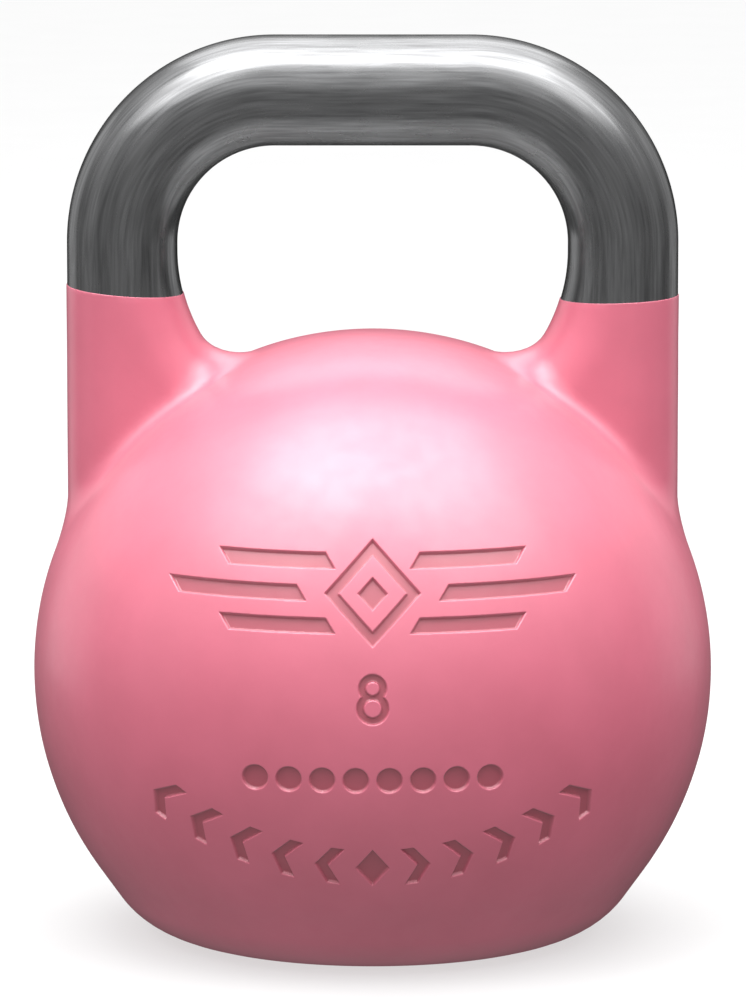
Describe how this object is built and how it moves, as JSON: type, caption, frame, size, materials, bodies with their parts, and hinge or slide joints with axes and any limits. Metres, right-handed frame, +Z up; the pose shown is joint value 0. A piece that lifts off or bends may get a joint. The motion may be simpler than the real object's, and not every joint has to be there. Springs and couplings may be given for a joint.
{
  "type": "kettlebell",
  "caption": "Competition kettlebell: hollow painted steel ball with two horns, a bare round steel handle, a ring foot and a base plate closed by a screw plug.",
  "frame": {"origin": "centre of the base, on the floor that the kettlebell stands on", "axes": "+Z up, X along the grip, the marked front faces -Y"},
  "size_m": [0.21, 0.21, 0.2785],
  "materials": {
    "pink_enamel": "satin gloss enamel over a slightly uneven cast surface",
    "base_enamel": "satin gloss enamel on flat plate and weld bead",
    "bare_steel": "bare, ground and brushed along the bar",
    "mill_steel": "plain, as machined",
    "zinc_plate": "bright zinc plate",
    "copper": "soft copper sealing ring",
    "bound_shot": "dark iron shot bound in resin"
  },
  "bodies": {
    "root": {"ball_shell": "pink_enamel", "handle_bar": "bare_steel", "left_handle_weld": "bare_steel", "right_handle_weld": "bare_steel", "base_plate": "base_enamel", "base_plate_weld": "base_enamel", "weld_nut": "mill_steel", "fill_plug": "zinc_plate", "plug_seal": "copper", "trim_ballast": "bound_shot"}
  },
  "joints": []
}
